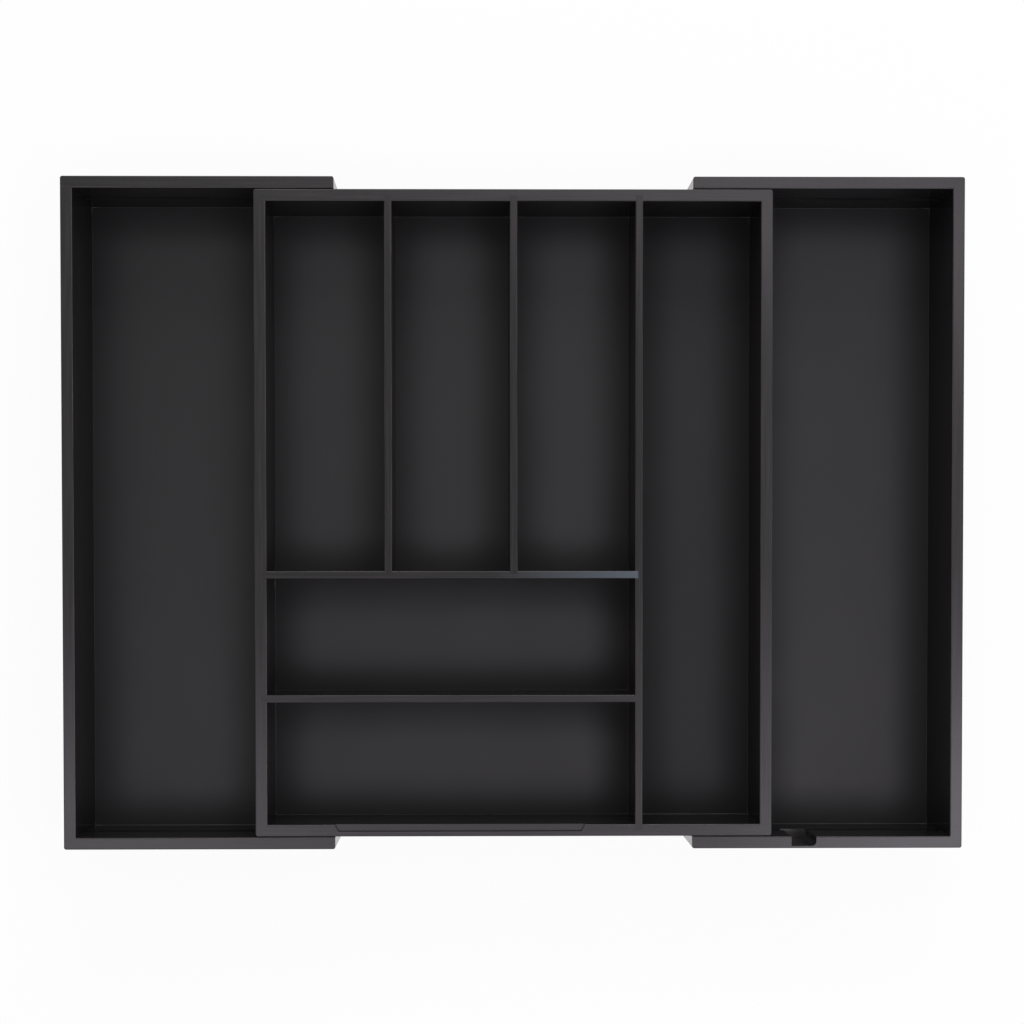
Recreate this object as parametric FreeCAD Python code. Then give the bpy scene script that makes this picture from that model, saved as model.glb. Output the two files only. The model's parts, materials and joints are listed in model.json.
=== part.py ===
"""Expandable cutlery tray made of thin lacquered boards.

A centre tray with six compartments stands between two side trays that pull out to the left and
right. Tongues in the centre tray's front and back walls run in stopped grooves of the side trays'
walls: the closed end of each groove is the stop that keeps a pulled-out tray on. The model shows
both side trays pulled out.

X runs from left to right, Y from front to back and Z up from the bottom of the drawer.
"""
import FreeCAD
import Part

import math
import os

Vector = FreeCAD.Vector

# Overall sizes, in millimetres
TRAY_DEPTH = 450.0  # front to back over the side trays
TRAY_HEIGHT = 65.0  # up to the rim, which all walls and dividers share
CENTRE_LENGTH = 347.0  # left to right over the centre tray
OPEN_OVERLAP = 53.5  # side tray wall that stays beside the centre tray when pulled out

# Boards
WALL = 8.0
DIVIDER = 5.0
FLOOR = 4.0
RIM_EASE = 0.7  # radius on the rim edges
CORNER_ROUND = 1.5  # radius on the upright outer corners

# Compartments along the front of the centre tray, measured front to back
FRONT_BAY = 82.1
SECOND_BAY = 78.2

# Joinery
GLUE_GAP = 0.1  # room around floors, tongues and dowels; walls and dividers fit without play
CORNER_LAP = 4.0  # front and back walls reach this far into the centre tray's side walls
WALL_DADO = 4.0  # depth of the housing for a divider in a wall
DIVIDER_DADO = 2.0  # depth of the housing for a divider in another divider
FLOOR_GROOVE = 3.0  # depth of the groove that holds the centre floor
FLOOR_LIP = 6.0  # wall left below that groove
FLOOR_REBATE = 4.0  # ledge that the side trays' floors are glued up against
DOWEL_DIAMETER = 4.0
DOWEL_IN_END_WALL = 14.0
DOWEL_IN_LONG_WALL = 5.0
DOWEL_CHAMFER = 0.5

# Slides
RUNNING_GAP = 0.5  # between the centre tray and the side trays' walls
UNDER_GAP = 0.5  # between the centre tray and the side trays' floors
CLOSED_GAP = 1.0  # between end wall and centre tray when pushed in
MEETING_GAP = 1.0  # between the two side trays when pushed in
GUIDE_HEIGHT = 32.5  # middle of the guide groove above the bottom
GUIDE_WIDTH = 7.0
GUIDE_DEPTH = 3.0
GUIDE_RUNOUT = 4.0  # the groove ends out of sight, this far behind the end wall's face
GUIDE_PLAY = 0.4  # above and below the tongue in its groove
TIP_GAP = 0.8  # from the tongue's tip to the bottom of its groove
STOP_GAP = 0.3  # between tongue and closed end of the groove when pulled out
TONGUE_LENGTH = 14.0
TONGUE_INSET = 10.0  # from the end of the centre tray
TONGUE_SEAT = 3.0  # depth of the tongue's mortise

# Slot in the right front wall, where a tongue drops down into the groove
SLOT_FROM_END = 67.0  # from the open end of the wall
SLOT_PLAY = 1.4
SLOT_SKIN = 1.6  # wall left outside the slot
SLOT_ROUND = 3.0

# Ledge in the rim of the centre tray's front wall
LEDGE_LEFT_INSET = 45.0  # from the left wall
LEDGE_RIGHT_INSET = 33.5  # from the long divider
LEDGE_WIDTH = 4.7
LEDGE_DROP = 2.5
LEDGE_SLANT = 2.5  # its ends run in by this much
LEDGE_ROUND = 1.0

# Faces that the sizes above give
OUTER_Y = TRAY_DEPTH / 2
OUTER_FACE_Y = OUTER_Y - WALL
CENTRE_Y = OUTER_FACE_Y - RUNNING_GAP
CENTRE_FACE_Y = CENTRE_Y - WALL
CENTRE_X = CENTRE_LENGTH / 2
CENTRE_FACE_X = CENTRE_X - WALL
CENTRE_BOTTOM = FLOOR + UNDER_GAP
CENTRE_FLOOR_BOTTOM = CENTRE_BOTTOM + FLOOR_LIP
CENTRE_FLOOR_TOP = CENTRE_FLOOR_BOTTOM + FLOOR
SIDE_LENGTH = CENTRE_X + CLOSED_GAP + WALL - MEETING_GAP / 2
OPEN_END_X = CENTRE_X - OPEN_OVERLAP
END_X = OPEN_END_X + SIDE_LENGTH
END_FACE_X = END_X - WALL
GUIDE_BOTTOM = GUIDE_HEIGHT - GUIDE_WIDTH / 2
GUIDE_TOP = GUIDE_HEIGHT + GUIDE_WIDTH / 2
TONGUE_OUTER_X = CENTRE_X - TONGUE_INSET
TONGUE_INNER_X = TONGUE_OUTER_X - TONGUE_LENGTH
TONGUE_WIDTH = GUIDE_WIDTH - 2 * GUIDE_PLAY

# Divider centres: four equal columns, two bays along the front
COLUMN = (2 * CENTRE_FACE_X - 3 * DIVIDER) / 4
LEFT_SHORT_X = -CENTRE_FACE_X + COLUMN + DIVIDER / 2
RIGHT_SHORT_X = LEFT_SHORT_X + COLUMN + DIVIDER
LONG_X = RIGHT_SHORT_X + COLUMN + DIVIDER
LOWER_CROSS_Y = -CENTRE_FACE_Y + FRONT_BAY + DIVIDER / 2
UPPER_CROSS_Y = LOWER_CROSS_Y + SECOND_BAY + DIVIDER

CUT_MARGIN = 1.0  # cutters reach this far into free space
SHORTEST_EDGE = 1e-6


def corner_arc(before, corner, after, radius):
    """Start, middle and end of the arc that rounds a corner between two neighbours."""
    if radius == 0:
        return corner, None, corner
    arriving = (corner - before).normalize()
    leaving = (after - corner).normalize()
    half_turn = arriving.getAngle(leaving) / 2
    reach = radius * math.tan(half_turn)
    inward = (leaving - arriving).normalize()
    centre = corner + inward * (radius / math.cos(half_turn))
    return corner - arriving * reach, centre - inward * radius, corner + leaving * reach


def prism(corners, sweep):
    """Solid swept from a flat outline of (point, radius) corners."""
    points = [point for point, _ in corners]
    count = len(corners)
    arcs = []
    for index, (point, radius) in enumerate(corners):
        arcs.append(corner_arc(points[index - 1], point, points[(index + 1) % count], radius))
    edges = []
    for index, (start, middle, end) in enumerate(arcs):
        if middle:
            edges.append(Part.Arc(start, middle, end).toShape())
        following = arcs[(index + 1) % count][0]
        if (following - end).Length > SHORTEST_EDGE:
            edges.append(Part.makeLine(end, following))
    return Part.Face(Part.Wire(edges)).extrude(sweep)


def block(x_pair, y_pair, z_pair):
    """Box between two values along each axis, given in either order."""
    low = Vector(min(x_pair), min(y_pair), min(z_pair))
    high = Vector(max(x_pair), max(y_pair), max(z_pair))
    return Part.makeBox(high.x - low.x, high.y - low.y, high.z - low.z, low)


def square_board(plan, bottom):
    """Board standing on a plan of (x, y, radius) corners, with sharp rim edges."""
    corners = [(Vector(x, y, bottom), radius) for x, y, radius in plan]
    return prism(corners, Vector(0, 0, TRAY_HEIGHT - bottom))


def rectangle(x_pair, y_pair, radius):
    """Plan of a board or tray with the same radius on its four corners."""
    return [(x_pair[0], y_pair[0], radius), (x_pair[1], y_pair[0], radius),
            (x_pair[1], y_pair[1], radius), (x_pair[0], y_pair[1], radius)]


def tray_outline(x_pair, y_reach, bottom):
    """Block of a whole tray, its upright corners rounded and its outer rim eased all round."""
    whole = square_board(rectangle(x_pair, (-y_reach, y_reach), CORNER_ROUND), bottom)
    rim = [edge for edge in whole.Edges if edge.BoundBox.ZMin > TRAY_HEIGHT - SHORTEST_EDGE]
    return whole.makeFillet(RIM_EASE, rim)


def centre_outline():
    """Block that the centre tray's walls are shaped to."""
    return tray_outline((-CENTRE_X, CENTRE_X), CENTRE_Y, CENTRE_BOTTOM)


def side_outline(side):
    """Block that the walls of the left (-1) or right (1) side tray are shaped to."""
    return tray_outline((side * OPEN_END_X, side * END_X), OUTER_Y, 0)


def rim_easing(start, end, into):
    """Cutter that eases a rim edge between two plan points; into points into the board."""
    along = end - start
    axis = start + into * RIM_EASE + Vector(0, 0, TRAY_HEIGHT - RIM_EASE)
    free = axis - into * (RIM_EASE + CUT_MARGIN)
    above = Vector(0, 0, RIM_EASE + CUT_MARGIN)
    corner = prism([(point, 0) for point in (free, axis, axis + above, free + above)], along)
    return corner.cut(Part.makeCylinder(RIM_EASE, along.Length, axis, along))


def oblong(x_pair, width, y_pair):
    """Round-ended bar or cutter at the height of the guide groove, between two depths."""
    half = width / 2
    low = GUIDE_HEIGHT - half
    high = GUIDE_HEIGHT + half
    outline = [(x_pair[0], low), (x_pair[1], low), (x_pair[1], high), (x_pair[0], high)]
    corners = [(Vector(x, y_pair[0], z), half) for x, z in outline]
    return prism(corners, Vector(0, y_pair[1] - y_pair[0], 0))


def tongue_ends(side):
    """The X values between which a tongue lies, on the left (-1) or right (1)."""
    return sorted((side * TONGUE_INNER_X, side * TONGUE_OUTER_X))


def tongue(side, face):
    """Loose oblong tenon, half in the centre tray's wall and half in the side tray's groove."""
    tip = OUTER_FACE_Y + GUIDE_DEPTH - TIP_GAP
    return oblong(tongue_ends(side), TONGUE_WIDTH, (face * (CENTRE_Y - TONGUE_SEAT), face * tip))


def tongue_mortise(side, face):
    """Cutter for the seat of a tongue in the centre tray's front (-1) or back (1) wall."""
    left, right = tongue_ends(side)
    depths = (face * (CENTRE_Y - TONGUE_SEAT), face * (CENTRE_Y + CUT_MARGIN))
    return oblong((left - GLUE_GAP, right + GLUE_GAP), TONGUE_WIDTH + 2 * GLUE_GAP, depths)


def dado_across_x(x_middle, y_face, y_depth):
    """Cutter for the housing of a divider that runs front to back."""
    half = DIVIDER / 2
    return block((x_middle - half, x_middle + half), (y_face, y_depth),
                 (CENTRE_FLOOR_TOP, TRAY_HEIGHT + CUT_MARGIN))


def dado_across_y(y_middle, x_face, x_depth):
    """Cutter for the housing of a divider that runs left to right."""
    half = DIVIDER / 2
    return block((x_face, x_depth), (y_middle - half, y_middle + half),
                 (CENTRE_FLOOR_TOP, TRAY_HEIGHT + CUT_MARGIN))


def rim_ledge():
    """Cutter for the shallow step with slanted ends along the inner half of the front rim."""
    left = -CENTRE_FACE_X + LEDGE_LEFT_INSET
    right = LONG_X - DIVIDER / 2 - LEDGE_RIGHT_INSET
    inner = -CENTRE_FACE_Y
    free = inner + CUT_MARGIN
    deep = inner - LEDGE_WIDTH
    plan = [(left, free, 0), (left, inner, 0), (left + LEDGE_SLANT, deep, LEDGE_ROUND),
            (right - LEDGE_SLANT, deep, LEDGE_ROUND), (right, inner, 0), (right, free, 0)]
    corners = [(Vector(x, y, TRAY_HEIGHT - LEDGE_DROP), radius) for x, y, radius in plan]
    return prism(corners, Vector(0, 0, LEDGE_DROP + CUT_MARGIN))


def centre_long_wall(face, divider_middles):
    """Front (-1) or back (1) wall of the centre tray, with its floor groove, dados and mortises."""
    end = CENTRE_X - CORNER_LAP
    inner = face * CENTRE_FACE_Y
    groove = block((-end, end), (inner, inner + face * FLOOR_GROOVE),
                   (CENTRE_FLOOR_BOTTOM, CENTRE_FLOOR_TOP + GLUE_GAP))
    easing = rim_easing(Vector(-CENTRE_FACE_X, inner), Vector(CENTRE_FACE_X, inner), Vector(0, face))
    cutters = [groove, easing, tongue_mortise(-1, face), tongue_mortise(1, face)]
    for middle in divider_middles:
        cutters.append(dado_across_x(middle, inner, inner + face * WALL_DADO))
    board = block((-end, end), (inner, face * CENTRE_Y), (CENTRE_BOTTOM, TRAY_HEIGHT))
    return board.common(centre_outline()).cut(cutters)


def centre_side_wall(side, divider_middles):
    """Left (-1) or right (1) wall of the centre tray, rebated for the walls it laps."""
    outer = side * CENTRE_X
    lap = side * (CENTRE_X - CORNER_LAP)
    inner = side * CENTRE_FACE_X
    plan = [(outer, -CENTRE_Y, 0), (outer, CENTRE_Y, 0),
            (lap, CENTRE_Y, 0), (lap, CENTRE_FACE_Y, 0), (inner, CENTRE_FACE_Y, 0),
            (inner, -CENTRE_FACE_Y, 0), (lap, -CENTRE_FACE_Y, 0), (lap, -CENTRE_Y, 0)]
    groove_end = CENTRE_FACE_Y + FLOOR_GROOVE
    groove = block((inner, inner + side * FLOOR_GROOVE), (-groove_end, groove_end),
                   (CENTRE_FLOOR_BOTTOM, CENTRE_FLOOR_TOP + GLUE_GAP))
    easing = rim_easing(Vector(inner, -CENTRE_FACE_Y), Vector(inner, CENTRE_FACE_Y), Vector(side, 0))
    cutters = [groove, easing]
    for middle in divider_middles:
        cutters.append(dado_across_y(middle, inner, inner + side * WALL_DADO))
    return square_board(plan, CENTRE_BOTTOM).common(centre_outline()).cut(cutters)


def centre_floor():
    """Panel that sits in the groove of the four walls."""
    x_reach = CENTRE_FACE_X + FLOOR_GROOVE - GLUE_GAP
    y_reach = CENTRE_FACE_Y + FLOOR_GROOVE - GLUE_GAP
    return block((-x_reach, x_reach), (-y_reach, y_reach), (CENTRE_FLOOR_BOTTOM, CENTRE_FLOOR_TOP))


def divider_across_x(x_middle, front, back, front_housing):
    """Divider that runs front to back between two faces, with both its ends housed."""
    half = DIVIDER / 2
    board = block((x_middle - half, x_middle + half), (front - front_housing, back + WALL_DADO),
                  (CENTRE_FLOOR_TOP, TRAY_HEIGHT))
    easings = []
    for way in (-1, 1):
        x = x_middle - way * half
        easings.append(rim_easing(Vector(x, front), Vector(x, back), Vector(way, 0)))
    return board.cut(easings)


def long_divider():
    """Divider from front wall to back wall, with dados for the two cross dividers."""
    face = LONG_X - DIVIDER / 2
    dados = [dado_across_y(middle, face, face + DIVIDER_DADO) for middle in (LOWER_CROSS_Y, UPPER_CROSS_Y)]
    return divider_across_x(LONG_X, -CENTRE_FACE_Y, CENTRE_FACE_Y, WALL_DADO).cut(dados)


def cross_divider(y_middle):
    """Divider from the left wall to the long divider, with both its ends housed."""
    half = DIVIDER / 2
    left = -CENTRE_FACE_X
    right = LONG_X - half
    board = block((left - WALL_DADO, right + DIVIDER_DADO), (y_middle - half, y_middle + half),
                  (CENTRE_FLOOR_TOP, TRAY_HEIGHT))
    easings = []
    for way in (-1, 1):
        y = y_middle - way * half
        easings.append(rim_easing(Vector(left, y), Vector(right, y), Vector(0, way)))
    return board.cut(easings)


def upper_cross_divider():
    """Cross divider that also houses the front ends of the two short dividers."""
    face = UPPER_CROSS_Y + DIVIDER / 2
    dados = [dado_across_x(middle, face, face - DIVIDER_DADO) for middle in (LEFT_SHORT_X, RIGHT_SHORT_X)]
    return cross_divider(UPPER_CROSS_Y).cut(dados)


def short_divider(x_middle):
    """Divider from the upper cross divider to the back wall."""
    return divider_across_x(x_middle, UPPER_CROSS_Y + DIVIDER / 2, CENTRE_FACE_Y, DIVIDER_DADO)


def dowel_places(side):
    """Axis points, at the end wall's ends, of the four dowels of a side tray."""
    x_middle = side * (END_X - WALL / 2)
    heights = ((FLOOR + GUIDE_BOTTOM) / 2, (GUIDE_TOP + TRAY_HEIGHT) / 2)
    return [(x_middle, face, z) for face in (-1, 1) for z in heights]


def dowel_hole(place):
    """Cutter for a dowel's hole through the joint of end wall and long wall."""
    x_middle, face, z = place
    radius = DOWEL_DIAMETER / 2 + GLUE_GAP
    start = Vector(x_middle, face * (OUTER_FACE_Y - DOWEL_IN_END_WALL), z)
    return Part.makeCylinder(radius, DOWEL_IN_END_WALL + DOWEL_IN_LONG_WALL, start, Vector(0, face, 0))


def dowel(place):
    """Hidden dowel with chamfered ends, a little shorter than its hole."""
    x_middle, face, z = place
    start = Vector(x_middle, face * (OUTER_FACE_Y - DOWEL_IN_END_WALL + GLUE_GAP), z)
    length = DOWEL_IN_END_WALL + DOWEL_IN_LONG_WALL - 2 * GLUE_GAP
    bar = Part.makeCylinder(DOWEL_DIAMETER / 2, length, start, Vector(0, face, 0))
    rims = [edge for edge in bar.Edges if isinstance(edge.Curve, Part.Circle)]
    return bar.makeChamfer(DOWEL_CHAMFER, rims)


def guide_groove(side, face):
    """Cutter for the stopped groove that a tongue of the centre tray runs in."""
    stop = side * (TONGUE_INNER_X - STOP_GAP)
    blind_end = side * (END_FACE_X + GUIDE_RUNOUT)
    depths = (face * (OUTER_FACE_Y - CUT_MARGIN), face * (OUTER_FACE_Y + GUIDE_DEPTH))
    return oblong(sorted((stop, blind_end)), GUIDE_WIDTH, depths)


def entry_slot(side, face):
    """Cutter for the slot from the rim down into the groove, open to the inside of the tray."""
    near = side * (OPEN_END_X + SLOT_FROM_END)
    far = near + side * (TONGUE_LENGTH + 2 * SLOT_PLAY)
    free = face * (OUTER_FACE_Y - CUT_MARGIN)
    deep = face * (OUTER_Y - SLOT_SKIN)
    plan = [(near, free, 0), (near, deep, 0), (far, deep, SLOT_ROUND), (far, free, 0)]
    corners = [(Vector(x, y, GUIDE_BOTTOM), radius) for x, y, radius in plan]
    return prism(corners, Vector(0, 0, TRAY_HEIGHT - GUIDE_BOTTOM + CUT_MARGIN))


def side_long_wall(side, face, slotted):
    """Front (-1) or back (1) wall of a side tray, running past the end wall."""
    inner = face * OUTER_FACE_Y
    outer = face * OUTER_Y
    near = side * OPEN_END_X
    far = side * END_X
    free = near - side * CUT_MARGIN
    rebate = block((free, side * (END_FACE_X + FLOOR_REBATE)),
                   (inner - face * CUT_MARGIN, inner + face * FLOOR_REBATE), (-CUT_MARGIN, FLOOR))
    easing = rim_easing(Vector(free, inner), Vector(side * END_FACE_X, inner), Vector(0, face))
    cutters = [rebate, easing, guide_groove(side, face)]
    cutters += [dowel_hole(place) for place in dowel_places(side) if place[1] == face]
    if slotted:
        cutters.append(entry_slot(side, face))
    board = block((near, far), (inner, outer), (0, TRAY_HEIGHT))
    return board.common(side_outline(side)).cut(cutters)


def side_end_wall(side):
    """End wall of a side tray, butted between its long walls."""
    inner = side * END_FACE_X
    ends = (-OUTER_FACE_Y, OUTER_FACE_Y)
    rebate = block((inner - side * CUT_MARGIN, inner + side * FLOOR_REBATE), ends, (-CUT_MARGIN, FLOOR))
    easing = rim_easing(Vector(inner, ends[0]), Vector(inner, ends[1]), Vector(side, 0))
    cutters = [rebate, easing] + [dowel_hole(place) for place in dowel_places(side)]
    board = block((inner, side * END_X), ends, (0, TRAY_HEIGHT))
    return board.common(side_outline(side)).cut(cutters)


def side_floor(side):
    """Panel glued up into the rebates of the three walls, flush with their bottom edges."""
    far = side * (END_FACE_X + FLOOR_REBATE - GLUE_GAP)
    reach = OUTER_FACE_Y + FLOOR_REBATE - GLUE_GAP
    return block((side * OPEN_END_X, far), (-reach, reach), (0, FLOOR))


def centre_tray():
    """All pieces of the centre tray, by name."""
    pieces = {
        "centre_back_wall": centre_long_wall(1, (LEFT_SHORT_X, RIGHT_SHORT_X, LONG_X)),
        "centre_front_wall": centre_long_wall(-1, (LONG_X,)).cut(rim_ledge()),
        "centre_left_wall": centre_side_wall(-1, (LOWER_CROSS_Y, UPPER_CROSS_Y)),
        "centre_right_wall": centre_side_wall(1, ()),
        "centre_floor": centre_floor(),
        "long_divider": long_divider(),
        "upper_cross_divider": upper_cross_divider(),
        "lower_cross_divider": cross_divider(LOWER_CROSS_Y),
        "left_short_divider": short_divider(LEFT_SHORT_X),
        "right_short_divider": short_divider(RIGHT_SHORT_X),
    }
    for face, face_name in ((1, "back"), (-1, "front")):
        for side, side_name in ((-1, "left"), (1, "right")):
            pieces[f"{face_name}_{side_name}_tongue"] = tongue(side, face)
    return pieces


def side_tray(side, side_name, slotted):
    """All pieces of the left (-1) or right (1) side tray, by name."""
    return {
        f"{side_name}_end_wall": side_end_wall(side),
        f"{side_name}_back_wall": side_long_wall(side, 1, False),
        f"{side_name}_front_wall": side_long_wall(side, -1, slotted),
        f"{side_name}_floor": side_floor(side),
        f"{side_name}_corner_dowels": Part.makeCompound([dowel(place) for place in dowel_places(side)]),
    }


os.makedirs("parts", exist_ok=True)
tray = {**centre_tray(), **side_tray(-1, "left", False), **side_tray(1, "right", True)}
for node, shape in tray.items():
    shape.exportStep(f"parts/{node}.step")
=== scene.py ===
"""Studio picture of an expandable cutlery tray in satin black lacquer.

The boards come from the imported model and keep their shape. This file gives them their finish, runs
the fine beads of lacquer that gather in the inner corners, and sets the camera and the light.

All lengths are metres in the frame of the model: X from left to right, Y from front to back, Z up.
"""

import json
import logging
import math
from dataclasses import dataclass, replace
from enum import Enum

import bmesh
import bpy
from mathutils import Euler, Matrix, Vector, noise


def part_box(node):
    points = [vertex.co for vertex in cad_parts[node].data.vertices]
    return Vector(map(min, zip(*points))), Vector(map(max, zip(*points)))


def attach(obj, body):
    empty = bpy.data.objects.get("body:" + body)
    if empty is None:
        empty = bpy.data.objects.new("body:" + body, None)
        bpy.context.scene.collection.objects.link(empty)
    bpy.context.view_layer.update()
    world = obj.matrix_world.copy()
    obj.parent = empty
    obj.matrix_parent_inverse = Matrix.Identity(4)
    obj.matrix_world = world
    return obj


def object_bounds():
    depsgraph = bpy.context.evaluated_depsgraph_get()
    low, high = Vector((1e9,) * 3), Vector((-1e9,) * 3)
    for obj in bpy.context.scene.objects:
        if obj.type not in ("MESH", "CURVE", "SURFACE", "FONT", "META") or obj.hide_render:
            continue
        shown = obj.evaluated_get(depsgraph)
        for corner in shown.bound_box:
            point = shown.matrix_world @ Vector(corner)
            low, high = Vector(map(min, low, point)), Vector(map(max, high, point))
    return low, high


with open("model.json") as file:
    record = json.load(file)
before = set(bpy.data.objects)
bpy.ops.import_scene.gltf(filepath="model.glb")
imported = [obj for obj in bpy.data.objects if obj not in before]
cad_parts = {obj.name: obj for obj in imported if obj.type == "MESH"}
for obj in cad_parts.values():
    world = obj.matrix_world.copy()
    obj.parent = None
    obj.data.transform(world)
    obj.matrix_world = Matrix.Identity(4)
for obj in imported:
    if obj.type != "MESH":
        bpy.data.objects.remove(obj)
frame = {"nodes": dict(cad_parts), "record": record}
CAD_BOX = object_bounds()

log = logging.getLogger("cutlery_tray")

MM = 0.001
WHITE = "#ffffff"
PINKISH_WHITE = "#fff6ff"
LILAC_WHITE = "#faf1ff"
UP = Vector((0, 0, 1))


class Grain(Enum):
    """The way the fibres of a board run."""

    ALONG_X = 0
    ALONG_Y = 1


class Makeup(Enum):
    """How a board is made up under its lacquer."""

    STACKED_STRIPS = "strips glued one above the other"
    THIN_SHEET = "sheet without joints"


class Place(Enum):
    """Where a tray stands, which is how the names of its body and boards start."""

    LEFT = "left"
    CENTRE = "centre"
    RIGHT = "right"


def linear(hex_colour: str) -> tuple[float, float, float, float]:
    """Turn an sRGB hex colour into linear red, green, blue and alpha.

    Args:
        hex_colour: six hex digits after a hash sign.

    Returns:
        The four linear channels, fully opaque.
    """
    channels = []
    for start in (1, 3, 5):
        value = int(hex_colour[start:start + 2], 16) / 255
        channels.append(value / 12.92 if value <= 0.04045 else ((value + 0.055) / 1.055) ** 2.4)
    return (*channels, 1.0)


def add_node(tree: bpy.types.NodeTree, kind: str, inputs: dict, **settings) -> bpy.types.Node:
    """Add a shader node with its settings, values and links.

    Args:
        tree: the node tree that gets the node.
        kind: the node's type name.
        inputs: values or output sockets, by input name or number.
        **settings: attributes of the node itself.

    Returns:
        The new node.
    """
    node = tree.nodes.new(kind)
    for name, value in settings.items():
        setattr(node, name, value)
    for socket, value in inputs.items():
        if isinstance(value, bpy.types.NodeSocket):
            tree.links.new(value, node.inputs[socket])
        else:
            node.inputs[socket].default_value = value
    return node


@dataclass(frozen=True)
class Ground:
    """What a lacquer knows about the point of a board that it covers.

    place is the point in the frame, with x and z among its parts. lying is one on faces that lie flat,
    zero on upright ones and in between on eased edges. fibres is noise drawn out along the grain.
    """

    tree: bpy.types.NodeTree
    place: bpy.types.NodeSocket
    x: bpy.types.NodeSocket
    z: bpy.types.NodeSocket
    lying: bpy.types.NodeSocket
    fibres: bpy.types.NodeSocket


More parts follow.
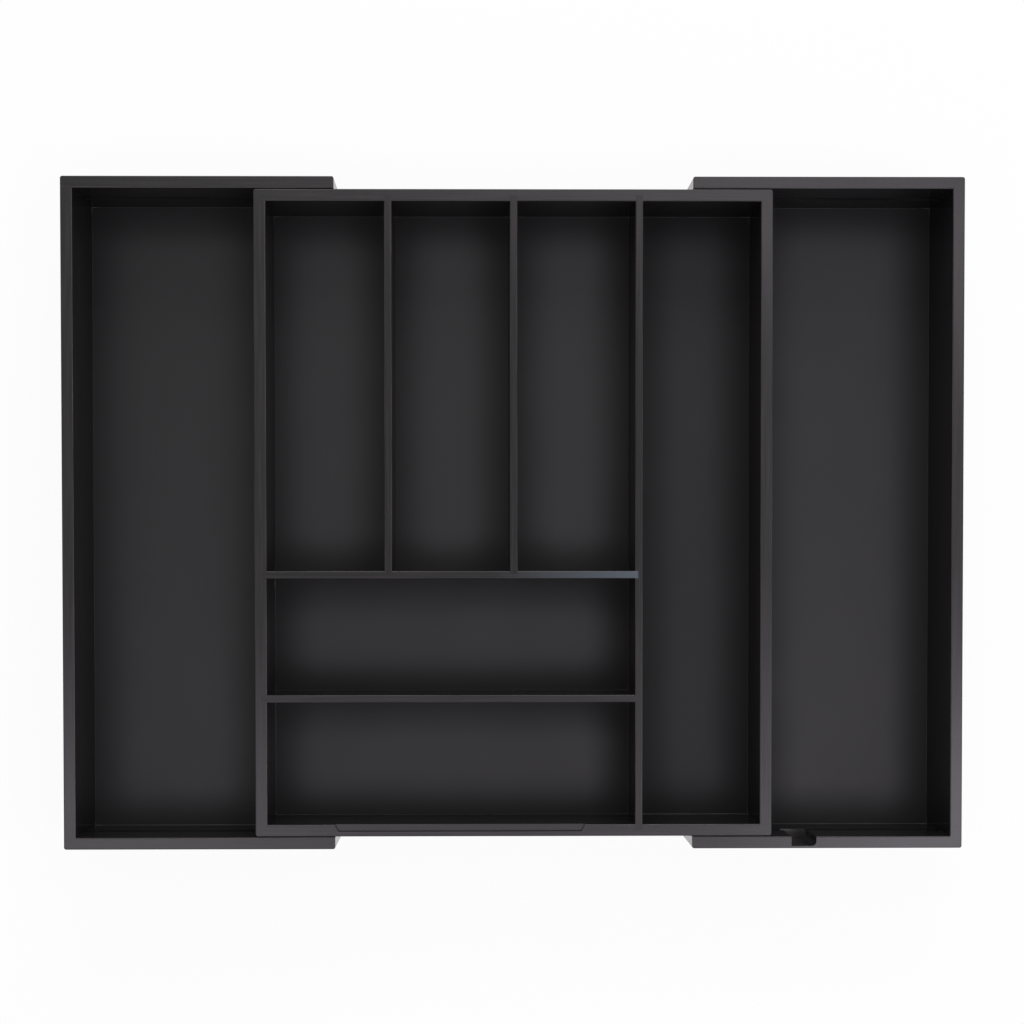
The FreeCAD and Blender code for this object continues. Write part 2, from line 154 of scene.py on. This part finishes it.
@dataclass(frozen=True)
class BlackLacquer:
    """Satin black lacquer sprayed on wood.

    The film is nearly black, so the eye sees mostly its soft reflection of the room. It is thinner along
    some fibres, lighter on the eased edges from wear and partly from a painted highlight, and dull where
    it dried before it could flow, as near inner corners. Close up it shows the fibres that the coat doesn't
    fill.

    Limits are the values of a pattern at which its effect starts and is complete. Sides are the X
    values between which an effect grows from nothing to full.
    """

    name: str
    film: str
    # Lighter film where the coat is thinner along fibres or rubbed on eased edges; on the walls it is pale
    # enough to be partly a painted highlight
    wear_and_highlight_film: str
    roughness: float
    upright_roughness: float
    ior: float
    makeup: Makeup = Makeup.THIN_SHEET
    corner_dryness: float = 0.0
    corner_reach: float = 32.0 * MM
    corner_limits: tuple[float, float] = (0.5, 1.0)
    corner_samples: int = 16
    dry_side: tuple[float, float] | None = None
    dry_roughness: float = 0.14
    # A painted highlight: a colour laid on flat faces, growing in between the X values of its side
    painted_highlight: str | None = None
    painted_highlight_side: tuple[float, float] = (0.0, 100.0 * MM)
    roughness_spread: float = 0.03
    drift_limits: tuple[float, float] = (0.6, 1.4)
    streak_share: float = 0.15
    streak_limits: tuple[float, float] = (0.42, 0.68)
    wear_and_highlight_limits: tuple[float, float] = (0.05, 0.16)
    # Real fibre bundles are about half as wide, too fine to show, so these are drawn coarser
    fibre_width: float = 0.9 * MM
    fibre_length: float = 55.0 * MM
    fibre_detail: float = 3.0
    fibre_unevenness: float = 0.6
    fibre_relief: float = 0.008 * MM
    cloud_size: float = 45.0 * MM
    strip_width: float = 21.0 * MM
    strip_joint: float = 0.5 * MM
    strip_relief: float = 0.04 * MM
    peel_size: float = 2.4 * MM
    peel_detail: float = 1.0
    peel_relief: float = 0.004 * MM

    def material(self, grain: Grain) -> bpy.types.Material:
        """Make the lacquer for boards whose fibres run one way.

        Args:
            grain: the direction of the fibres.

        Returns:
            The new material.
        """
        made = bpy.data.materials.new(f"{self.name}_{grain.name.lower()}")
        made.use_nodes = True
        tree = made.node_tree
        tree.nodes.clear()
        at = self.ground(tree, grain)
        shader = add_node(tree, "ShaderNodeBsdfPrincipled", {
            "Base Color": self.colour(at),
            "Roughness": self.sheen(at),
            "IOR": self.ior,
            "Normal": self.relief(at),
        })
        add_node(tree, "ShaderNodeOutputMaterial", {"Surface": shader.outputs[0]})
        return made

    def ground(self, tree: bpy.types.NodeTree, grain: Grain) -> Ground:
        """Find where a point of the board is, how its face lies and how its fibres run.

        Args:
            tree: the node tree of the material.
            grain: the direction of the fibres.

        Returns:
            What the other methods need to know about the point.
        """
        place = add_node(tree, "ShaderNodeTexCoord", {}).outputs["Object"]
        parts = add_node(tree, "ShaderNodeSeparateXYZ", {0: place}).outputs
        facing = add_node(tree, "ShaderNodeNewGeometry", {}).outputs["Normal"]
        upward = add_node(tree, "ShaderNodeSeparateXYZ", {0: facing}).outputs["Z"]
        lying = add_node(tree, "ShaderNodeMath", {0: upward, 1: upward}, operation="MULTIPLY").outputs[0]
        scale = [1 / self.fibre_width] * 3
        scale[grain.value] = 1 / self.fibre_length
        drawn_out = add_node(tree, "ShaderNodeMapping", {"Vector": place, "Scale": scale}).outputs[0]
        fibres = add_node(tree, "ShaderNodeTexNoise", {
            "Vector": drawn_out, "Scale": 1.0,
            "Detail": self.fibre_detail, "Roughness": self.fibre_unevenness,
        }).outputs[0]
        return Ground(tree, place, parts["X"], parts["Z"], lying, fibres)

    def colour(self, at: Ground) -> bpy.types.NodeSocket:
        """The film's black: thinner along some fibres, with patches of wear and painted highlight on eased
        edges.

        Args:
            at: what is known about the point.

        Returns:
            The base colour, with a painted highlight that grows to one side where one is given.
        """
        tree = at.tree
        # Eased edges get patches of lighter film: partly wear, partly a painted highlight
        upright = add_node(tree, "ShaderNodeMath", {0: 1.0, 1: at.lying}, operation="SUBTRACT").outputs[0]
        edge = add_node(tree, "ShaderNodeMath", {0: at.lying, 1: upright}, operation="MULTIPLY").outputs[0]
        wear_and_highlight_spots = add_node(tree, "ShaderNodeMath", {0: edge, 1: at.fibres}, operation="MULTIPLY").outputs[0]
        wear_and_highlight_mask = add_node(tree, "ShaderNodeMapRange", {
            "Value": wear_and_highlight_spots, "From Min": self.wear_and_highlight_limits[0], "From Max": self.wear_and_highlight_limits[1],
        }).outputs[0]
        streaks = add_node(tree, "ShaderNodeMapRange", {
            "Value": at.fibres, "From Min": self.streak_limits[0], "From Max": self.streak_limits[1],
            "To Max": self.streak_share,
        }).outputs[0]
        thinning_and_highlight = add_node(tree, "ShaderNodeMath", {0: wear_and_highlight_mask, 1: streaks}, operation="MAXIMUM").outputs[0]
        mixed = add_node(tree, "ShaderNodeMix", {
            "Factor": thinning_and_highlight, "A": linear(self.film), "B": linear(self.wear_and_highlight_film),
        }, data_type="RGBA").outputs["Result"]
        if self.painted_highlight is None:
            return mixed
        # Painted highlight: flat faces take the highlight colour, growing towards one side, in place of a
        # reflection
        painted_highlight_ramp = add_node(tree, "ShaderNodeMapRange", {
            "Value": at.x, "From Min": self.painted_highlight_side[0], "From Max": self.painted_highlight_side[1],
        }).outputs[0]
        painted_highlight_mask = add_node(tree, "ShaderNodeMath", {0: painted_highlight_ramp, 1: at.lying}, operation="MULTIPLY").outputs[0]
        return add_node(tree, "ShaderNodeMix", {
            "Factor": painted_highlight_mask, "A": mixed, "B": linear(self.painted_highlight),
        }, data_type="RGBA").outputs["Result"]

    def sheen(self, at: Ground) -> bpy.types.NodeSocket:
        """Roughness that drifts in soft clouds and along the fibres, and rises where the coat is dry.

        Args:
            at: what is known about the point.

        Returns:
            The roughness.
        """
        tree = at.tree
        coat = add_node(tree, "ShaderNodeMapRange", {
            "Value": at.lying, "To Min": self.upright_roughness, "To Max": self.roughness,
        }).outputs[0]
        clouds = add_node(tree, "ShaderNodeTexNoise", {
            "Vector": at.place, "Scale": 1 / self.cloud_size,
        }).outputs[0]
        both = add_node(tree, "ShaderNodeMath", {0: at.fibres, 1: clouds}, operation="ADD").outputs[0]
        drift = add_node(tree, "ShaderNodeMapRange", {
            "Value": both, "From Min": self.drift_limits[0], "From Max": self.drift_limits[1],
            "To Min": -self.roughness_spread, "To Max": self.roughness_spread,
        }).outputs[0]
        total = add_node(tree, "ShaderNodeMath", {0: coat, 1: drift}, operation="ADD").outputs[0]
        if self.corner_dryness > 0:
            clear = add_node(tree, "ShaderNodeAmbientOcclusion", {
                "Distance": self.corner_reach,
            }, samples=self.corner_samples).outputs["AO"]
            dry = add_node(tree, "ShaderNodeMapRange", {
                "Value": clear, "From Min": self.corner_limits[0], "From Max": self.corner_limits[1],
                "To Min": self.corner_dryness, "To Max": 0.0,
            }).outputs[0]
            total = add_node(tree, "ShaderNodeMath", {0: total, 1: dry}, operation="ADD").outputs[0]
        if self.dry_side is None:
            return total
        dry = add_node(tree, "ShaderNodeMapRange", {
            "Value": at.x, "From Min": self.dry_side[0], "From Max": self.dry_side[1],
            "To Min": 0.0, "To Max": self.dry_roughness,
        }).outputs[0]
        return add_node(tree, "ShaderNodeMath", {0: total, 1: dry}, operation="ADD").outputs[0]

    def relief(self, at: Ground) -> bpy.types.NodeSocket:
        """Fibres and any strip joints under the faint orange peel of the sprayed coat.

        Args:
            at: what is known about the point.

        Returns:
            The normal.
        """
        tree = at.tree
        bumpy = add_node(tree, "ShaderNodeBump", {
            "Height": at.fibres, "Distance": self.fibre_relief,
        }).outputs[0]
        if self.makeup is Makeup.STACKED_STRIPS:
            from_joint = add_node(tree, "ShaderNodeMath", {
                0: at.z, 1: self.strip_width / 2,
            }, operation="PINGPONG").outputs[0]
            strips = add_node(tree, "ShaderNodeMapRange", {
                "Value": from_joint, "From Min": 0.0, "From Max": self.strip_joint,
            }, interpolation_type="SMOOTHSTEP").outputs[0]
            bumpy = add_node(tree, "ShaderNodeBump", {
                "Height": strips, "Distance": self.strip_relief, "Normal": bumpy,
            }).outputs[0]
        peel = add_node(tree, "ShaderNodeTexNoise", {
            "Vector": at.place, "Scale": 1 / self.peel_size, "Detail": self.peel_detail,
        }).outputs[0]
        return add_node(tree, "ShaderNodeBump", {
            "Height": peel, "Distance": self.peel_relief, "Normal": bumpy,
        }).outputs[0]


@dataclass(frozen=True)
class BareBamboo:
    """Bamboo rods of the hidden dowels: pale, dry and finely fibred."""

    name: str = "bare_bamboo"
    pith: str = "#d2b88e"
    fibre: str = "#b29265"
    roughness: float = 0.6
    fibre_width: float = 0.5 * MM
    fibre_length: float = 9.0 * MM

    def material(self, grain: Grain) -> bpy.types.Material:
        """Make the bamboo for dowels that lie along one axis.

        Args:
            grain: the direction of the dowels.

        Returns:
            The new material.
        """
        made = bpy.data.materials.new(self.name)
        made.use_nodes = True
        tree = made.node_tree
        tree.nodes.clear()
        place = add_node(tree, "ShaderNodeTexCoord", {}).outputs["Object"]
        scale = [1 / self.fibre_width] * 3
        scale[grain.value] = 1 / self.fibre_length
        drawn_out = add_node(tree, "ShaderNodeMapping", {"Vector": place, "Scale": scale}).outputs[0]
        fibres = add_node(tree, "ShaderNodeTexNoise", {"Vector": drawn_out, "Scale": 1.0}).outputs[0]
        wood = add_node(tree, "ShaderNodeMix", {
            "Factor": fibres, "A": linear(self.pith), "B": linear(self.fibre),
        }, data_type="RGBA").outputs["Result"]
        shader = add_node(tree, "ShaderNodeBsdfPrincipled", {"Base Color": wood, "Roughness": self.roughness})
        add_node(tree, "ShaderNodeOutputMaterial", {"Surface": shader.outputs[0]})
        return made


# Bamboo boards: a satin mirror that shows fine fibre lines, strip joints and pale wear on the edges, which is
# partly a painted highlight
WALL_LACQUER = BlackLacquer(
    name="black_lacquered_bamboo", film="#191819", wear_and_highlight_film="#4a4542",
    roughness=0.21, upright_roughness=0.16, ior=1.36, makeup=Makeup.STACKED_STRIPS)

# Thin bamboo boards: the same look with slightly duller rims
DIVIDER_LACQUER = replace(
    WALL_LACQUER, name="black_lacquered_thin_bamboo", roughness=0.24, ior=1.325)

# Thin bamboo with a painted highlight: a bluish grey on the rim that grows to the right, in place of a lamp's
# reflection
PAINTED_HIGHLIGHT_LACQUER = replace(
    DIVIDER_LACQUER, name="black_lacquered_bamboo_painted_highlight",
    painted_highlight="#4a5259", painted_highlight_side=(-12.0 * MM, 80.0 * MM))

# Plywood panels: dull and even, and duller still near the walls
FLOOR_LACQUER = BlackLacquer(
    name="black_lacquered_plywood", film="#0f0f10", wear_and_highlight_film="#1a191a",
    roughness=0.48, upright_roughness=0.58, ior=1.36, corner_dryness=0.22)

# The centre panel: the same, with a drier coat right of the long divider
CENTRE_FLOOR_LACQUER = replace(
    FLOOR_LACQUER, name="black_lacquered_centre_plywood", dry_side=(70.0 * MM, 100.0 * MM))

# Stained and waxed bamboo: brown-black and without a mirror
TONGUE_STAIN = BlackLacquer(
    name="black_stained_bamboo", film="#161416", wear_and_highlight_film="#221e1c",
    roughness=0.5, upright_roughness=0.5, ior=1.45)

# Lacquer that gathered in corners: deep black, with no wear
POOLED_LACQUER = BlackLacquer(
    name="pooled_black_lacquer", film="#0a0a0b", wear_and_highlight_film="#0a0a0b",
    roughness=0.5, upright_roughness=0.5, ior=1.42)

WALL_SLOT = "lacquered_walls"
POOLED = "pooled_lacquer"

# Finishes by material slot, by node where one board differs from its slot, or by name
FINISHES: dict[str, BlackLacquer | BareBamboo] = {
    WALL_SLOT: WALL_LACQUER,
    "lacquered_dividers": DIVIDER_LACQUER,
    # The upper cross divider carries a painted highlight on its rim
    "upper_cross_divider": PAINTED_HIGHLIGHT_LACQUER,
    "lacquered_floors": FLOOR_LACQUER,
    "centre_floor": CENTRE_FLOOR_LACQUER,
    "guide_tongues": TONGUE_STAIN,
    POOLED: POOLED_LACQUER,
    "hidden_dowels": BareBamboo(),
}


class Workshop:
    """Dresses boards, and makes each finish once for each direction of the grain."""

    def __init__(self) -> None:
        """Start with no finish made."""
        self.made: dict[tuple[str, Grain], bpy.types.Material] = {}

    def grain_of(self, node: str) -> Grain:
        """Find the direction of a board's fibres, which is the longer side of its plan.

        Args:
            node: name of the board.

        Returns:
            The direction of the fibres.
        """
        low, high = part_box(node)
        size = high - low
        return Grain.ALONG_X if size.x > size.y else Grain.ALONG_Y

    def finish(self, name: str, grain: Grain) -> bpy.types.Material:
        """Give the finish of that name for boards with that grain.

        Args:
            name: name of the finish.
            grain: the direction of the fibres.

        Returns:
            The material, made on its first use.
        """
        if (name, grain) not in self.made:
            self.made[name, grain] = FINISHES[name].material(grain)
        return self.made[name, grain]

    def dress(self, node: str) -> None:
        """Give one board of the model its own finish, or else the finish of its slot.

        Args:
            node: name of the board.
        """
        board = frame["nodes"][node]
        slot = board.material_slots[0]
        name = node if node in FINISHES else slot.material.name
        slot.material = self.finish(name, self.grain_of(node))
        log.info("dressed %s in %s", node, slot.material.name)


@dataclass(frozen=True)
class Station:
    """One cross-section of a bead: where its corner is and the two faces that it bridges."""

    corner: Vector
    across: Vector
    up: Vector
    radius: float


@dataclass(frozen=True)
class LacquerBead:
    """Lacquer that ran into an inner corner and dried as a fine hollow fillet, uneven along its length."""

    radius: float = 0.5 * MM
    unevenness: float = 0.35
    wave: float = 14.0 * MM
    spacing: float = 6.0 * MM
    arc_steps: int = 4
    sunk: float = 0.03 * MM
    thinning: float = 0.6
    thinning_power: int = 4

    def uneven_radius(self, corner: Vector) -> float:
        """Radius at a point, wavering slowly along the bead."""
        return self.radius * (1 + self.unevenness * noise.noise(corner / self.wave))

    def profile(self, radius: float) -> list[tuple[float, float]]:
        """Draw a cross-section from the corner along one face, round the hollow arc and back on the other.

        Args:
            radius: radius of the hollow arc.

        Returns:
            Distances across and up from the corner, the first of them just inside the boards.
        """
        points = [(-self.sunk, -self.sunk)]
        for step in range(self.arc_steps + 1):
            turn = math.pi / 2 * step / self.arc_steps
            across = radius * (1 - math.sin(turn)) - self.sunk
            up = radius * (1 - math.cos(turn)) - self.sunk
            points.append((across, up))
        return points

    def sweep(self, mesh: bmesh.types.BMesh, stations: list[Station], closed: bool) -> None:
        """Skin a row of cross-sections.

        Args:
            mesh: the mesh that gets the bead.
            stations: the cross-sections in order.
            closed: whether the last one joins the first.
        """
        rings = []
        for station in stations:
            ring = []
            for across, up in self.profile(station.radius):
                ring.append(mesh.verts.new(station.corner + station.across * across + station.up * up))
            rings.append(ring)
        count = len(rings[0])
        following = rings[1:] + rings[:1] if closed else rings[1:]
        for ring, after in zip(rings, following):
            for index in range(count):
                beside = (index + 1) % count
                face = mesh.faces.new((ring[index], ring[beside], after[beside], after[index]))
                face.smooth = 0 < index < count - 1
        if not closed:
            mesh.faces.new(rings[0])
            mesh.faces.new(rings[-1])

    def along_floor(self, corners: list[Vector], closed: bool) -> list[Station]:
        """Place cross-sections round the foot of the walls, mitred at the corners.

        Args:
            corners: corners of the floor, counter-clockwise.
            closed: whether a wall joins the last corner to the first.

        Returns:
            The cross-sections in order.
        """
        pairs = list(zip(corners, corners[1:] + corners[:1]))
        if not closed:
            pairs.pop()
        inward = [UP.cross((end - start).normalized()) for start, end in pairs]
        stations = []
        for number, (start, end) in enumerate(pairs):
            mitre = inward[number]
            if closed or number > 0:
                mitre = inward[number] + inward[number - 1]
            stations.append(Station(start, mitre, UP, self.uneven_radius(start)))
            steps = round((end - start).length / self.spacing)
            for step in range(1, steps):
                point = start.lerp(end, step / steps)
                stations.append(Station(point, inward[number], UP, self.uneven_radius(point)))
        if not closed:
            stations.append(Station(corners[-1], inward[-1], UP, self.uneven_radius(corners[-1])))
        return stations

    def up_corner(self, foot: Vector, top: float, middle: Vector) -> list[Station]:
        """Place cross-sections up the corner between two walls, running out thin at the top.

        Args:
            foot: lower end of the corner.
            top: height of the upper end.
            middle: a point between the walls, which the bead faces.

        Returns:
            The cross-sections in order.
        """
        across = Vector((math.copysign(1, middle.x - foot.x), 0, 0))
        up = Vector((0, math.copysign(1, middle.y - foot.y), 0))
        steps = round((top - foot.z) / self.spacing)
        stations = []
        for step in range(steps + 1):
            share = step / steps
            point = Vector((foot.x, foot.y, foot.z + (top - foot.z) * share))
            left_over = 1 - self.thinning * share ** self.thinning_power
            stations.append(Station(point, across, up, self.uneven_radius(point) * left_over))
        return stations

    def finish_piece(self, mesh: bmesh.types.BMesh, name: str, body: str, workshop: Workshop) -> None:
        """Turn a swept mesh into a lacquered piece that rides on a body.

        Args:
            mesh: the mesh, which is used up.
            name: name of the piece.
            body: the body that it rides on.
            workshop: what gives it its finish.
        """
        bmesh.ops.recalc_face_normals(mesh, faces=mesh.faces)
        data = bpy.data.meshes.new(name)
        mesh.to_mesh(data)
        mesh.free()
        data.materials.append(workshop.finish(POOLED, Grain.ALONG_X))
        piece = bpy.data.objects.new(name, data)
        bpy.context.scene.collection.objects.link(piece)
        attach(piece, body)
        log.info("ran %s with %d faces", name, len(data.polygons))


@dataclass(frozen=True)
class Tray:
    """The boards of one body, with beads of lacquer in the corners between them."""

    place: Place
    bead: LacquerBead = LacquerBead()
    rim_clearance: float = 0.8 * MM

    @property
    def body(self) -> str:
        """Name of the body that the tray's boards belong to."""
        return f"{self.place.value}_tray"

    def dress(self, workshop: Workshop) -> None:
        """Give every board its finish."""
        for node in frame["record"]["behaviour"]["bodies"][self.body]:
            workshop.dress(node)


@dataclass(frozen=True)
class CentreTray(Tray):
    """The divided tray in the middle: four walls, a raised floor and five dividers.

    Each row of pockets names a compartment and the boards at its left, right, front and back.
    """

    place: Place = Place.CENTRE
    pockets: tuple[tuple[str, str, str, str, str], ...] = (
        ("left_pocket", "centre_left_wall", "left_short_divider",
         "upper_cross_divider", "centre_back_wall"),
        ("middle_pocket", "left_short_divider", "right_short_divider",
         "upper_cross_divider", "centre_back_wall"),
        ("right_pocket", "right_short_divider", "long_divider",
         "upper_cross_divider", "centre_back_wall"),
        ("deep_pocket", "long_divider", "centre_right_wall",
         "centre_front_wall", "centre_back_wall"),
        ("second_pocket", "centre_left_wall", "long_divider",
         "lower_cross_divider", "upper_cross_divider"),
        ("front_pocket", "centre_left_wall", "long_divider",
         "centre_front_wall", "lower_cross_divider"),
    )

    def run_beads(self, workshop: Workshop) -> None:
        """Run a bead round the floor and up the corners of each compartment.

        Args:
            workshop: what gives the beads their finish.
        """
        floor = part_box("centre_floor")[1].z
        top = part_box("centre_back_wall")[1].z - self.rim_clearance
        for name, left, right, front, back in self.pockets:
            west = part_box(left)[1].x
            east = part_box(right)[0].x
            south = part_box(front)[1].y
            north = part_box(back)[0].y
            plan = [(west, south), (east, south), (east, north), (west, north)]
            corners = [Vector((x, y, floor)) for x, y in plan]
            middle = sum(corners, Vector()) / len(corners)
            mesh = bmesh.new()
            self.bead.sweep(mesh, self.bead.along_floor(corners, True), True)
            for corner in corners:
                self.bead.sweep(mesh, self.bead.up_corner(corner, top, middle), False)
            self.bead.finish_piece(mesh, f"{name}_lacquer_bead", self.body, workshop)


@dataclass(frozen=True)
class SideTray(Tray):
    """A tray that pulls out: two long walls with a guide groove, an end wall and a floor."""

    groove_clearance: float = 0.9 * MM

    def run_beads(self, workshop: Workshop) -> None:
        """Run a bead along the foot of the three walls, and up both corners past the groove's mouth.

        Args:
            workshop: what gives the bead its finish.
        """
        side = self.place.value
        floor_low, floor_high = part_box(f"{side}_floor")
        end_low, end_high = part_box(f"{side}_end_wall")
        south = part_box(f"{side}_front_wall")[1].y
        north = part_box(f"{side}_back_wall")[0].y
        tongue_low, tongue_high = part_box(f"back_{side}_tongue")
        if self.place is Place.LEFT:
            plan = [(floor_high.x, north), (end_high.x, north), (end_high.x, south), (floor_high.x, south)]
        else:
            plan = [(floor_low.x, south), (end_low.x, south), (end_low.x, north), (floor_low.x, north)]
        corners = [Vector((x, y, floor_high.z)) for x, y in plan]
        middle = sum(corners, Vector()) / len(corners)
        mesh = bmesh.new()
        self.bead.sweep(mesh, self.bead.along_floor(corners, False), False)
        below = tongue_low.z - self.groove_clearance
        above = tongue_high.z + self.groove_clearance
        top = end_high.z - self.rim_clearance
        for corner in corners[1:3]:
            self.bead.sweep(mesh, self.bead.up_corner(corner, below, middle), False)
            over_groove = Vector((corner.x, corner.y, above))
            self.bead.sweep(mesh, self.bead.up_corner(over_groove, top, middle), False)
        self.bead.finish_piece(mesh, f"{side}_lacquer_bead", self.body, workshop)


@dataclass(frozen=True)
class Camera:
    """Camera straight above the tray, a little off its middle."""

    place: Vector = Vector((-27.3, -45.0, 1234.6)) * MM
    tilt_degrees: tuple[float, float, float] = (-1.275, -0.556, -0.045)
    lens: float = 61.35
    sensor: float = 36.0
    shift: tuple[float, float] = (0.0215, 0.1055)

    def build(self) -> None:
        """Make the scene's camera."""
        data = bpy.data.cameras.new("camera")
        data.lens = self.lens
        data.sensor_width = self.sensor
        data.shift_x, data.shift_y = self.shift
        camera = bpy.data.objects.new("camera", data)
        camera.location = self.place
        camera.rotation_euler = Euler([math.radians(angle) for angle in self.tilt_degrees])
        bpy.context.scene.collection.objects.link(camera)
        bpy.context.scene.camera = camera


@dataclass(frozen=True)
class SoftBox:
    """Large diffused lamp that faces the middle of the tray.

    A brightness of 1 is as bright as the white that shows behind the tray.
    """

    name: str
    place: Vector
    size: tuple[float, float]
    brightness: float
    colour: str

    def build(self, target: Vector) -> None:
        """Make the lamp.

        Args:
            target: the point that the lamp faces.
        """
        data = bpy.data.lights.new(self.name, "AREA")
        data.shape = "RECTANGLE"
        data.size, data.size_y = self.size
        data.energy = self.brightness * math.pi * data.size * data.size_y
        data.color = linear(self.colour)[:3]
        lamp = bpy.data.objects.new(self.name, data)
        lamp.location = self.place
        lamp.rotation_euler = (target - self.place).to_track_quat("-Z", "Y").to_euler()
        bpy.context.scene.collection.objects.link(lamp)


@dataclass(frozen=True)
class Studio:
    """White ceiling over a slightly dimmer room, pale floor, two low windows and soft lamps.

    The ceiling leans to the front, and fades into the room between two angles from its middle.
    """

    lamps: tuple[SoftBox, ...] = (
        SoftBox("side_window", Vector((2.2, -0.75, 1.0)), (1.2, 0.9), 3.0, WHITE),
        SoftBox("back_window", Vector((0.1, 2.1, 1.25)), (1.6, 0.9), 6.0, WHITE),
        SoftBox("right_box", Vector((0.80, 0.15, 1.5)), (0.9, 0.9), 0.4, PINKISH_WHITE),
        SoftBox("front_box", Vector((0.05, -0.44, 1.5)), (1.9, 0.50), 1.25, LILAC_WHITE),
        SoftBox("front_right_box", Vector((0.62, -0.58, 1.5)), (0.7, 0.42), 4.3, LILAC_WHITE),
        SoftBox("front_left_box", Vector((-0.52, -0.48, 1.5)), (0.55, 0.40), 1.6, LILAC_WHITE),
        SoftBox("back_box", Vector((0.18, 0.62, 1.5)), (1.7, 0.26), 2.5, PINKISH_WHITE),
    )
    surround_strength: float = 0.4
    surround_colour: str = "#f4f5f8"
    ceiling_degrees: tuple[float, float] = (25.0, 50.0)
    ceiling_lean_degrees: float = 10.0
    room_strength: float = 0.8
    floor_colour: str = "#f4f4f4"
    floor_size: float = 12.0
    floor_drop: float = 0.2 * MM
    floor_white_share: float = 0.93

    def mirrored(self, tree: bpy.types.NodeTree) -> bpy.types.NodeSocket:
        """Tell where a surface is seen in gloss or glass.

        Args:
            tree: the node tree that asks.

        Returns:
            One in gloss or glass, and zero elsewhere.
        """
        path = add_node(tree, "ShaderNodeLightPath", {}).outputs
        return add_node(tree, "ShaderNodeMath", {
            0: path["Is Glossy Ray"], 1: path["Is Transmission Ray"],
        }, operation="MAXIMUM").outputs[0]

    def build_surround(self) -> None:
        """Light the scene evenly, show plain white behind it and mirror a white ceiling in its gloss."""
        world = bpy.data.worlds.new("surround")
        world.use_nodes = True
        tree = world.node_tree
        tree.nodes.clear()
        light = add_node(tree, "ShaderNodeBackground", {
            "Color": linear(self.surround_colour), "Strength": self.surround_strength,
        }).outputs[0]
        direction = add_node(tree, "ShaderNodeTexCoord", {}).outputs["Generated"]
        lean = math.radians(self.ceiling_lean_degrees)
        height = add_node(tree, "ShaderNodeVectorMath", {
            0: direction, 1: (0.0, -math.sin(lean), math.cos(lean)),
        }, operation="DOT_PRODUCT").outputs["Value"]
        full, gone = (math.cos(math.radians(angle)) for angle in self.ceiling_degrees)
        fading = add_node(tree, "ShaderNodeMapRange", {
            "Value": height, "From Min": gone, "From Max": full, "To Min": self.room_strength, "To Max": 1.0,
        }, interpolation_type="SMOOTHSTEP").outputs[0]
        ceiling = add_node(tree, "ShaderNodeBackground", {
            "Color": linear(WHITE), "Strength": fading,
        }).outputs[0]
        around = add_node(tree, "ShaderNodeMixShader", {
            0: self.mirrored(tree), 1: light, 2: ceiling,
        }).outputs[0]
        white = add_node(tree, "ShaderNodeBackground", {"Color": linear(WHITE), "Strength": 1.0}).outputs[0]
        straight = add_node(tree, "ShaderNodeLightPath", {}).outputs["Is Camera Ray"]
        mixed = add_node(tree, "ShaderNodeMixShader", {0: straight, 1: around, 2: white}).outputs[0]
        add_node(tree, "ShaderNodeOutputWorld", {"Surface": mixed})
        bpy.context.scene.world = world

    def floor_material(self) -> bpy.types.Material:
        """Make a pale floor that looks white and keeps a soft shadow.

        Returns:
            The new material.
        """
        material = bpy.data.materials.new("pale_floor")
        material.use_nodes = True
        tree = material.node_tree
        tree.nodes.clear()
        pale = add_node(tree, "ShaderNodeBsdfDiffuse", {"Color": linear(self.floor_colour)}).outputs[0]
        white = add_node(tree, "ShaderNodeEmission", {"Color": linear(WHITE), "Strength": 1.0}).outputs[0]
        straight = add_node(tree, "ShaderNodeLightPath", {}).outputs["Is Camera Ray"]
        seen = add_node(tree, "ShaderNodeMath", {
            0: straight, 1: self.mirrored(tree),
        }, operation="MAXIMUM").outputs[0]
        share = add_node(tree, "ShaderNodeMath", {
            0: seen, 1: self.floor_white_share,
        }, operation="MULTIPLY").outputs[0]
        mixed = add_node(tree, "ShaderNodeMixShader", {0: share, 1: pale, 2: white}).outputs[0]
        add_node(tree, "ShaderNodeOutputMaterial", {"Surface": mixed})
        return material

    def build_floor(self) -> None:
        """Lay the floor just below the tray."""
        half = self.floor_size / 2
        level = CAD_BOX[0].z - self.floor_drop
        mesh = bpy.data.meshes.new("floor")
        corners = [(-half, -half, level), (half, -half, level), (half, half, level), (-half, half, level)]
        mesh.from_pydata(corners, [], [(0, 1, 2, 3)])
        mesh.materials.append(self.floor_material())
        floor = bpy.data.objects.new("floor", mesh)
        bpy.context.scene.collection.objects.link(floor)

    def build(self) -> None:
        """Set the surround, the floor and the lamps."""
        self.build_surround()
        self.build_floor()
        target = (CAD_BOX[0] + CAD_BOX[1]) / 2
        for lamp in self.lamps:
            lamp.build(target)
        bpy.context.scene.view_settings.view_transform = "Standard"


def main() -> None:
    """Dress the three trays, then set the camera and the studio."""
    logging.basicConfig(level=logging.INFO, format="%(message)s")
    workshop = Workshop()
    for tray in (CentreTray(), SideTray(Place.LEFT), SideTray(Place.RIGHT)):
        tray.dress(workshop)
        tray.run_beads(workshop)
    Camera().build()
    Studio().build()


if __name__ == "__main__":
    main()
